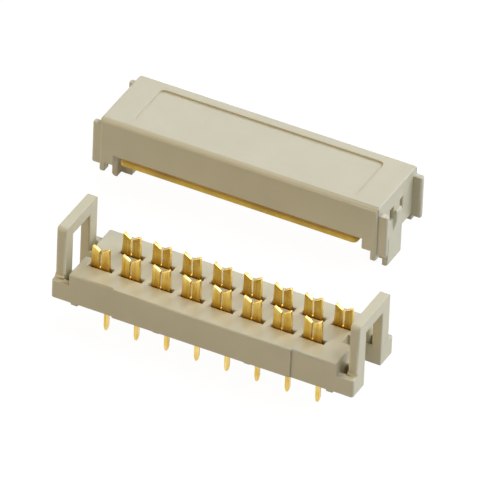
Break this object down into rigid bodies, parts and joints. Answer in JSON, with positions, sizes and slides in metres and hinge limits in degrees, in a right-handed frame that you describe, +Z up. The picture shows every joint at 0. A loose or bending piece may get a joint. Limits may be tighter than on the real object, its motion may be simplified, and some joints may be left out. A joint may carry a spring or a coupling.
{
  "type": "ribbon cable to board connector, two-piece",
  "caption": "Beige two-piece ribbon cable connector for circuit boards: a base with rows of gold forked contacts, solder tails and latch posts, and a loose cover with end tongues.",
  "frame": {"origin": "middle of the solder tails' grid, on the face of the board that the base's pads rest on", "axes": "+X along the rows of contacts, +Y from the front row to the back row and on to the cover, +Z up, away from the board"},
  "size_m": [0.0311, 0.0242, 0.0089],
  "materials": {
    "base_plastic": "moulded, light grey beige, satin",
    "cover_plastic": "moulded, light grey beige, satin",
    "contact_gold": "stamped copper alloy, gold plated",
    "tape": "amber adhesive film, slightly translucent in the real one",
    "liner": "amber release liner, satin"
  },
  "bodies": {
    "root": {"base_housing": "base_plastic", "cover": "cover_plastic", "adhesive_tape": "tape", "release_liner": "liner", "contact_front_1": "contact_gold", "contact_front_2": "contact_gold", "contact_front_3": "contact_gold", "contact_front_4": "contact_gold", "contact_front_5": "contact_gold", "contact_front_6": "contact_gold", "contact_front_7": "contact_gold", "contact_front_8": "contact_gold", "contact_back_1": "contact_gold", "contact_back_2": "contact_gold", "contact_back_3": "contact_gold", "contact_back_4": "contact_gold", "contact_back_5": "contact_gold", "contact_back_6": "contact_gold", "contact_back_7": "contact_gold", "contact_back_8": "contact_gold"}
  },
  "joints": []
}
